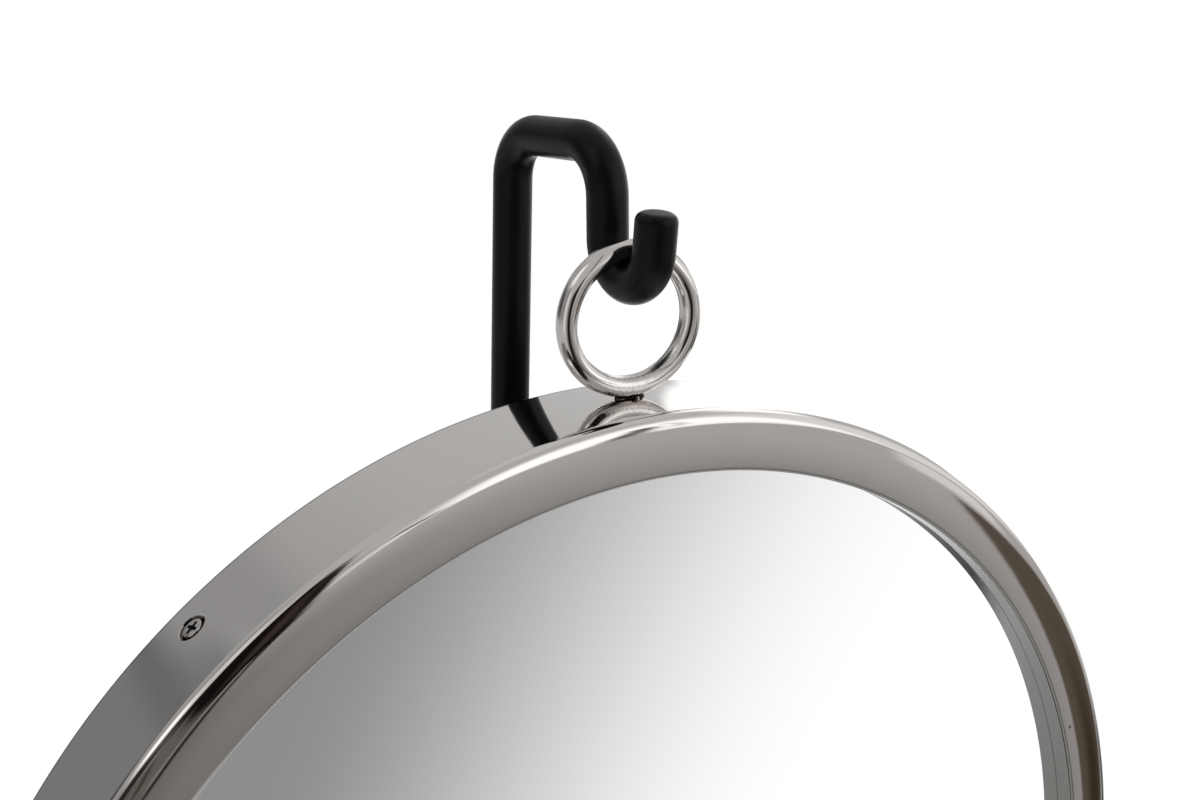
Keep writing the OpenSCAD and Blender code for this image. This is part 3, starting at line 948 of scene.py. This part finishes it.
def frame_outline(s):
    """Section of the rolled sheet: outside from the back edge to the lip, then back inside."""
    opening, hold = FRAME_R - s.flange_width, 0.3 * MM
    half = (FRAME_R - s.edge_radius - opening - s.lip_radius) / 2
    mid = FRAME_R - s.edge_radius - half
    to_edge = math.asin(half / (s.crown_radius - s.edge_radius))
    to_lip = math.asin(half / (s.crown_radius - s.lip_radius))
    edge = (FRAME_R - s.edge_radius,
            s.crown_radius - (s.crown_radius - s.edge_radius) * math.cos(to_edge))
    lip = (opening + s.lip_radius,
           s.crown_radius - (s.crown_radius - s.lip_radius) * math.cos(to_lip))
    edge_turn, lip_turn = 90 - math.degrees(to_edge), 90 - math.degrees(to_lip)
    crown_turn = math.degrees(to_edge + to_lip)
    back, cut = FRAME_DEPTH, s.cut_edge
    outline = Outline(FRAME_R - cut, back).line(FRAME_R, back - cut)
    outline.line(FRAME_R, edge[1] + hold, 10).line(FRAME_R, edge[1])
    outline.arc(*edge, edge_turn, 16).arc(mid, s.crown_radius, crown_turn, 14)
    outline.arc(*lip, lip_turn, 10).line(opening, s.lip_depth - cut)
    outline.line(opening + cut, s.lip_depth).line(opening + s.sheet, s.lip_depth)
    inside = s.crown_radius - s.sheet
    from_lip = math.asin((mid - opening - s.sheet) / inside)
    outline.line(opening + s.sheet, s.crown_radius - inside * math.cos(from_lip))
    outline.arc(mid, s.crown_radius, -math.degrees(from_lip + to_edge), 5)
    outline.arc(*edge, -edge_turn, 6)
    outline.line(FRAME_R - s.sheet, back)
    return outline


def side_places(fixings):
    """Places of the four side screws round the band."""
    a = fixings.side_angle
    return [at_rim(angle, fixings.side_back) for angle in (-a, a, math.pi - a, math.pi + a)]


class BuildFrame(bpy.types.Operator):
    """Rolled nickel frame with its crowned flange, lip and countersinks"""

    bl_idname = "hanging_mirror.build_frame"
    bl_label = "Mirror frame"

    def execute(self, context):
        settings = context.scene.hanging_mirror.frame
        fixings = context.scene.hanging_mirror.fixings
        bm = frame_outline(settings).turned(settings.steps, closed=True)
        place_mesh(bm, ON_MIRROR)
        deep, wide = 3 * MM, fixings.countersink / 2
        sink = shifted(cone(wide - deep, wide + deep, 2 * deep, 72), 0, 0, FRAME_R)
        bm = combine(bm, copies(sink, side_places(fixings)))
        metal = frame_nickel("nickel_frame", settings)
        finish_piece("frame_shell", bm, "mirror", metal, "mirror_frame", 40)
        return {"FINISHED"}


class BuildGlass(bpy.types.Operator):
    """Silvered glass plate, its gasket, the foam sheet and the backing board"""

    bl_idname = "hanging_mirror.build_glass"
    bl_label = "Glass and backing"

    def execute(self, context):
        settings = context.scene.hanging_mirror.glass
        front, back = faces_of(GLASS_MID, GLASS_SIZE)
        bm = disc(GLASS_SIZE.x / 2, front, back, settings.arris, 0.0, 2, 256)
        for face in bm.faces:
            silvered = face.calc_center_median().z < (front + back) / 2
            flat = abs(face.normal.z) > 0.99
            face.material_index = (0 if silvered else 2) if flat else 1
        finishes = [
            silver_glass("silver", settings),
            clouded("glass_edge", 3, 4, settings.edge, (0.30, 0.46, 0.40, 1),
                    0.25, 0.2, 20e-6),
            clouded("mirror_paint", 25, 5, (0.13, 0.14, 0.15, 1), (0.19, 0.20, 0.21, 1),
                    0.5, 0.1, 15e-6)]
        finish_piece("mirror_plate", place_mesh(bm, ON_MIRROR), "mirror", finishes,
                     "mirror_glass", 20)

        outer = GASKET_SIZE.x / 2
        bm = disc(outer, *faces_of(GASKET_MID, GASKET_SIZE), 0.6 * MM,
                  outer - settings.gasket_width)
        rubber = cell_foam("gasket_rubber", grey(0.008), grey(0.035), 0.6)
        finish_piece("gasket_ring", place_mesh(bm, ON_MIRROR), "mirror", rubber,
                     "glass_gasket")

        bm = disc(FOAM_SIZE.x / 2, *faces_of(FOAM_MID, FOAM_SIZE), 0.5 * MM)
        white = cell_foam("white_foam", (0.55, 0.55, 0.53, 1), (0.80, 0.80, 0.78, 1), 1.1)
        finish_piece("foam_layer", place_mesh(bm, ON_MIRROR), "mirror", white,
                     "foam_sheet")
        board = hardboard("board", (0.16, 0.085, 0.04, 1), (0.36, 0.22, 0.12, 1))
        paint_node("backing_board", board)
        return {"FINISHED"}


class BuildBack(bpy.types.Operator):
    """Wooden hoop and the closing panel at the back"""

    bl_idname = "hanging_mirror.build_back"
    bl_label = "Hoop and panel"

    def execute(self, context):
        paint_node("wood_hoop", hoop_wood("hoop"))
        panel = hardboard("panel", (0.010, 0.0095, 0.009, 1), (0.030, 0.028, 0.026, 1))
        paint_node("back_panel", panel)
        return {"FINISHED"}


# Beads of filler beside the foot: aside, behind the ring's middle, radius
BEADS = [(3.0 * MM, -2.1 * MM, 0.62 * MM), (1.9 * MM, -2.2 * MM, 0.40 * MM),
         (-2.6 * MM, 1.8 * MM, 0.5 * MM)]
FOOT_HIGH = 2.6 * MM
# The stud ends this far inside the foot
STUD_R, STUD_UNDER = 2.5 * MM, 0.6 * MM
# How far the mirror swings each way, and the steps between the cuts for the ring, in degrees
SWING, SWING_STEP = 30, 10


class BuildRing(bpy.types.Operator):
    """Nickel ring, its brazed foot with the stud, washer and nut"""

    bl_idname = "hanging_mirror.build_ring"
    bl_label = "Hanging ring"

    def execute(self, context):
        settings = context.scene.hanging_mirror.frame
        bar_r = RING_SIZE.y / 2
        ring_r = RING_SIZE.z / 2 - bar_r
        there = RING_MID + Vector((settings.ring_aside, 0, -settings.ring_low))
        by_hand = Matrix.Rotation(settings.ring_turn, 4, "Z")
        upright = Matrix.Rotation(math.pi / 2 + settings.ring_pitch, 4, "X")
        there = Matrix.Translation(there) @ by_hand @ upright
        bm = place_mesh(torus(ring_r, bar_r, 48, 192), there)
        metal = ring_nickel("nickel_ring", settings)
        finish_piece("ring_bar", bm, "ring", metal, "hanging_ring")
        self.build_foot(context, there, ring_r, bar_r)
        steel = zinc_steel("zinc_stud")
        paint_node("stud_washer", steel)
        paint_node("stud_nut", steel)
        return {"FINISHED"}

    @staticmethod
    def build_foot(context, ring_place, ring_r, bar_r):
        """Brazed foot under the ring, with a bead of filler, and its stud through the band."""
        settings = context.scene.hanging_mirror
        fixings = settings.fixings
        low = STUD_MID.z - STUD_SIZE.z / 2
        foot = bmesh.new()
        bmesh.ops.create_uvsphere(foot, u_segments=64, v_segments=32, radius=1)
        scaled(foot, fixings.foot_radius, fixings.foot_width, FOOT_HIGH)
        shifted(foot, fixings.foot_aside, RING_MID.y, FRAME_TOP - 0.2 * MM)
        high = FRAME_TOP - STUD_UNDER
        stud = cone(STUD_R, STUD_R, high - low, 48)
        bevel(stud, [e for e in stud.edges if all(v.co.z < 0 for v in e.verts)], 0.4 * MM, 2)
        shifted(stud, 0, RING_MID.y, (high + low) / 2)
        foot = combine(foot, stud, "UNION")
        for x, y, radius in BEADS:
            bead = bmesh.new()
            bmesh.ops.create_icosphere(bead, subdivisions=3, radius=radius)
            shifted(bead, x, RING_MID.y + y, FRAME_TOP + radius * 0.7)
            foot = combine(foot, bead, "UNION")
        # Room for the ring all through the mirror's swing
        for turn in range(-SWING, SWING + 1, SWING_STEP):
            swung = Matrix.Translation(RING_MID) @ Matrix.Rotation(math.radians(turn), 4, "Y")
            swung = swung @ Matrix.Translation(-RING_MID)
            bar = torus(ring_r, bar_r + fixings.ring_gap, 64, 256)
            foot = combine(foot, place_mesh(bar, swung @ ring_place))
        finish_piece("brazed_foot", foot, "mirror", brazing("brazing", settings.frame),
                     "ring_stud", 50)


# Dents in the coat left by the bending: place, size, depth
BAR_DENTS = [
    ((-2.0 * MM, RING_MID.y + 6.4 * MM, RING_MID.z + 28.5 * MM), 3.2 * MM, 0.22 * MM),
    ((-6.4 * MM, RING_MID.y + 17.4 * MM, RING_MID.z + 42.5 * MM), 3.0 * MM, 0.20 * MM),
]
# Spacing of the bar's sections along its straights and round its bends
STRAIGHT_STEP, BEND_STEP = 1.2 * MM, math.radians(3.5)


class BuildBar(bpy.types.Operator):
    """Bent bar: upright, arm, leg, hook and rounded tip"""

    bl_idname = "hanging_mirror.build_bar"
    bl_label = "Bent bar"

    def execute(self, context):
        s = context.scene.hanging_mirror.bar
        bar_r = s.diameter / 2
        bottom = ROD_MID.z - ROD_SIZE.z / 2
        upright_y = RING_MID.y + s.reach
        inside_top = RING_MID.z + RING_SIZE.z / 2 - RING_SIZE.y
        arm_z = inside_top - s.ring_gap - bar_r + s.hook_radius + s.rise
        # Arm and leg close the way from the crook's end when the bends have taken their part
        arm_way, leg_way = math.pi / 2 - s.lift, math.pi - s.leg_lean
        both = s.shoulder_radius + s.hook_radius
        out = s.reach - s.crook_radius * (1 - math.cos(arm_way))
        out += both * math.cos(leg_way) - s.shoulder_radius * math.cos(arm_way)
        down = s.rise - s.shoulder_radius * math.sin(arm_way) + both * math.sin(leg_way)
        across = math.sin(arm_way - leg_way)
        arm = (out * math.cos(leg_way) + down * math.sin(leg_way)) / across
        leg = -(down * math.sin(arm_way) + out * math.cos(arm_way)) / across
        bends = [
            (arm_z - s.crook_radius * math.sin(arm_way) - bottom, s.crook_radius, arm_way),
            (arm, s.shoulder_radius, leg_way - arm_way),
            (leg, s.hook_radius, -(leg_way - s.tip_lean)),
        ]
        bm = bmesh.new()
        bmesh.ops.create_circle(bm, cap_ends=True, segments=64, radius=bar_r)
        end, at, heading = bm.faces[:], Vector((0, upright_y, bottom)), 0.0
        shifted(bm, *at)
        for run, radius, turn in bends:
            end, at = self.straight(bm, end, at, heading, run)
            side = math.copysign(radius, turn)
            centre = at + side * Vector((0, -math.cos(heading), -math.sin(heading)))
            steps = max(8, round(abs(turn) / BEND_STEP))
            last = spin(bm, end, centre, (1, 0, 0), turn, steps)
            end = [g for g in last if isinstance(g, bmesh.types.BMFace)]
            at = centre + Matrix.Rotation(turn, 3, "X") @ (at - centre)
            heading += turn
        # The last step leaves room for the rounded edge
        last = 1.4 * s.tip_edge
        end, at = self.straight(bm, end, at, heading, s.tip_length - last)
        end, at = self.straight(bm, end, at, heading, last, 1)
        bevel(bm, end[0].edges[:], s.tip_edge, 8)
        bmesh.ops.recalc_face_normals(bm, faces=bm.faces[:])
        coat = black_coat("bar_coat", s, s.roughness, BAR_DENTS)
        finish_piece("bent_bar", bm, "stand", coat, "hook_rod", 45)
        return {"FINISHED"}

    @staticmethod
    def straight(bm, end, at, heading, run, steps=None):
        """Extrudes the end cap straight on, in steps that hold the shading."""
        ahead = Vector((0, -math.sin(heading), math.cos(heading)))
        steps = steps or max(2, min(40, round(run / STRAIGHT_STEP)))
        for _ in range(steps):
            made = bmesh.ops.extrude_face_region(bm, geom=end)
            bmesh.ops.delete(bm, geom=end, context="FACES_ONLY")
            verts = [g for g in made["geom"] if isinstance(g, bmesh.types.BMVert)]
            bmesh.ops.translate(bm, vec=ahead * (run / steps), verts=verts)
            end = [g for g in made["geom"] if isinstance(g, bmesh.types.BMFace)]
        return end, at + ahead * run


class BuildBase(bpy.types.Operator):
    """Base plate with its felt, bolt and washers"""

    bl_idname = "hanging_mirror.build_base"
    bl_label = "Base"

    def execute(self, context):
        settings = context.scene.hanging_mirror.base
        bar = context.scene.hanging_mirror.bar
        low, high = PLATE_MID.z - PLATE_SIZE.z / 2, PLATE_MID.z + PLATE_SIZE.z / 2
        r, edge, cut, gap = PLATE_SIZE.x / 2, settings.top_edge, 1 * MM, 0.1 * MM
        outline = Outline(0, high).line(r - edge - cut, high).line(r - edge, high)
        outline.arc(r - edge, high - edge, 90, 10).line(r, low + cut).line(r - cut, low)
        bm = outline.line(0, low).turned(240)
        seat = disc(bar.diameter / 2 + gap, high - settings.recess - gap, high + 5 * MM,
                    0.2 * MM, 0.0, 2, 96)
        bm = combine(bm, shifted(seat, 0, settings.upright_back, 0))
        coat = black_coat("base_coat", settings, 0.42)
        finish_piece("round_base", bm, "stand", coat, "base_plate", 40)

        low, high = FELT_MID.z - FELT_SIZE.z / 2, FELT_MID.z + FELT_SIZE.z / 2
        bm = disc(FELT_SIZE.x / 2, low, high, 0.4 * MM)
        finish_piece("felt_pad", bm, "stand", felt("felt"), "base_felt")
        steel = zinc_steel("zinc_bolt")
        for node in ("base_bolt", "lock_washer", "base_washer"):
            paint_node(node, steel)
        return {"FINISHED"}


# The side screws were driven a little to the back in their countersinks
SIDE_HEAD_BACK = 0.6 * MM
SIDE_HEAD_DEPTH = 0.35 * MM
SIDE_HEAD_R = 3.35 * MM
PAN_HEAD_R = 3.45 * MM
PAN_HEAD_HIGH = 1.95 * MM
BACK_SCREW_R = 209.4 * MM
CROSS_WIDTH = 1.3 * MM
CROSS_DEPTH = 1.75 * MM
# Faces of the recess from here down take the painted shade
SHALLOW = 0.05 * MM


class BuildScrews(bpy.types.Operator):
    """Countersunk side screws and pan-head back screws, with cross recesses"""

    bl_idname = "hanging_mirror.build_screws"
    bl_label = "Screws"

    def execute(self, context):
        s = context.scene.hanging_mirror.fixings
        flat = self.screw(self.flat_head(s), s.side_shank / 2, s.side_length, s, 2.3 * MM)
        seats = [there @ Matrix.Translation((0, SIDE_HEAD_BACK, 0)) @ self.rolled(i)
                 for i, there in enumerate(side_places(s))]
        steel = [screw_steel("screw_steel"), recess_painted_shade("recess_painted_shade")]
        finish_piece("countersunk_screws", copies(flat, seats), "mirror", steel, "side_screws",
                     30)
        pan = self.screw(self.pan_head(s), s.back_shank / 2, s.back_length, s, 2.1 * MM)
        out = Matrix.Translation((0, -BACK_SCREW_R, faces_of(PANEL_MID, PANEL_SIZE)[1]))
        turns = [Matrix.Rotation((i + 0.5) * math.tau / s.back_count, 4, "Z")
                 for i in range(s.back_count)]
        seats = [ON_MIRROR @ turn @ out @ self.rolled(i) for i, turn in enumerate(turns)]
        finish_piece("pan_screws", copies(pan, seats), "mirror", steel, "back_screws", 30)
        return {"FINISHED"}

    @staticmethod
    def rolled(i):
        """Each screw stops at its own turn."""
        return Matrix.Rotation(math.radians(12 + 67 * i), 4, "Z")

    @staticmethod
    def flat_head(s):
        """Outline of the countersunk head, down to the thread."""
        top, r = FRAME_R - SIDE_HEAD_DEPTH, SIDE_HEAD_R
        outline = Outline(0, top).line(r - 0.35 * MM, top).line(r - 0.1 * MM, top - 0.1 * MM)
        outline.line(r, top - 0.3 * MM)
        return outline.line(s.side_shank / 2, top - 0.3 * MM - (r - s.side_shank / 2)), top

    @staticmethod
    def pan_head(s):
        """Outline of the pan head, down to the thread."""
        r, high, rise = PAN_HEAD_R, PAN_HEAD_HIGH, 0.75 * PAN_HEAD_HIGH
        round_r = (r * r + rise * rise) / (2 * rise)
        outline = Outline(0, high).arc(0, high - round_r, math.degrees(math.asin(r / round_r)), 10)
        return outline.line(r, 0.1 * MM).line(r - 0.1 * MM, 0).line(s.back_shank / 2, 0), high

    @staticmethod
    def screw(head, shank_r, length, s, reach):
        """The head's outline run on as a pointed thread, turned, with its cross recess cut."""
        outline, top = head
        z = outline.end.co.z
        low = z - length
        root = 0.72 * shank_r
        while z - s.thread_pitch > low + 2 * shank_r:
            outline.line(root, z - 0.35 * s.thread_pitch).line(root, z - 0.6 * s.thread_pitch)
            outline.line(shank_r, z - s.thread_pitch)
            z -= s.thread_pitch
        bm = outline.line(root, z - 0.4 * MM).line(0, low).turned(72)
        recess = None
        for quarter in (0, math.pi / 2):
            arm = bmesh.new()
            bmesh.ops.create_cube(arm, size=1)
            scaled(arm, 2.4 * reach, CROSS_WIDTH, 2 * CROSS_WIDTH)
            shifted(arm, 0, 0, top - 0.3 * MM)
            bmesh.ops.scale(arm, vec=(0.5, 0.7, 1), verts=[v for v in arm.verts if v.co.z < top])
            bmesh.ops.rotate(arm, cent=(0, 0, 0), matrix=Matrix.Rotation(quarter, 3, "Z"),
                             verts=arm.verts[:])
            recess = combine(recess, arm, "UNION") if recess else arm
        hub = shifted(cone(0.3 * MM, 1.35 * MM, 2.2 * MM, 32), 0, 0, top - 0.6 * MM)
        bm = combine(bm, combine(recess, hub, "UNION"))
        # The recess's deep faces get the second material, painted shade
        for face in bm.faces:
            middle = face.calc_center_median()
            near = math.hypot(middle.x, middle.y) < 0.9 * reach
            face.material_index = int(near and top - CROSS_DEPTH < middle.z < top - SHALLOW)
        return bm


class MirrorPanel(bpy.types.Panel):
    """Builds the mirror piece by piece"""

    bl_idname = "VIEW3D_PT_hanging_mirror"
    bl_label = "Hanging mirror"
    bl_space_type = "VIEW_3D"
    bl_region_type = "UI"
    bl_category = "Mirror"

    def draw(self, context):
        for step in BUILD_STEPS:
            self.layout.operator(step.bl_idname)


# The glass comes before the stage, which lights it by itself
BUILD_STEPS = (BuildFrame, BuildGlass, BuildBack, BuildRing, BuildBar, BuildBase, BuildScrews,
               BuildStage)
CLASSES = (FrameSettings, GlassSettings, BarSettings, FixingSettings, BaseSettings, StageSettings,
           MirrorSettings, *BUILD_STEPS, MirrorPanel)


def register():
    for one in CLASSES:
        bpy.utils.register_class(one)
    bpy.types.Scene.hanging_mirror = PointerProperty(type=MirrorSettings)


def unregister():
    del bpy.types.Scene.hanging_mirror
    for one in reversed(CLASSES):
        bpy.utils.unregister_class(one)


def main():
    for old in [o for o in bpy.data.objects if o.name in ("Cube", "Light", "Camera")]:
        bpy.data.objects.remove(old)
    register()
    bpy.ops.hanging_mirror.build_frame()
    bpy.ops.hanging_mirror.build_glass()
    bpy.ops.hanging_mirror.build_back()
    bpy.ops.hanging_mirror.build_ring()
    bpy.ops.hanging_mirror.build_bar()
    bpy.ops.hanging_mirror.build_base()
    bpy.ops.hanging_mirror.build_screws()
    bpy.ops.hanging_mirror.build_stage()


if __name__ == "__main__":
    main()
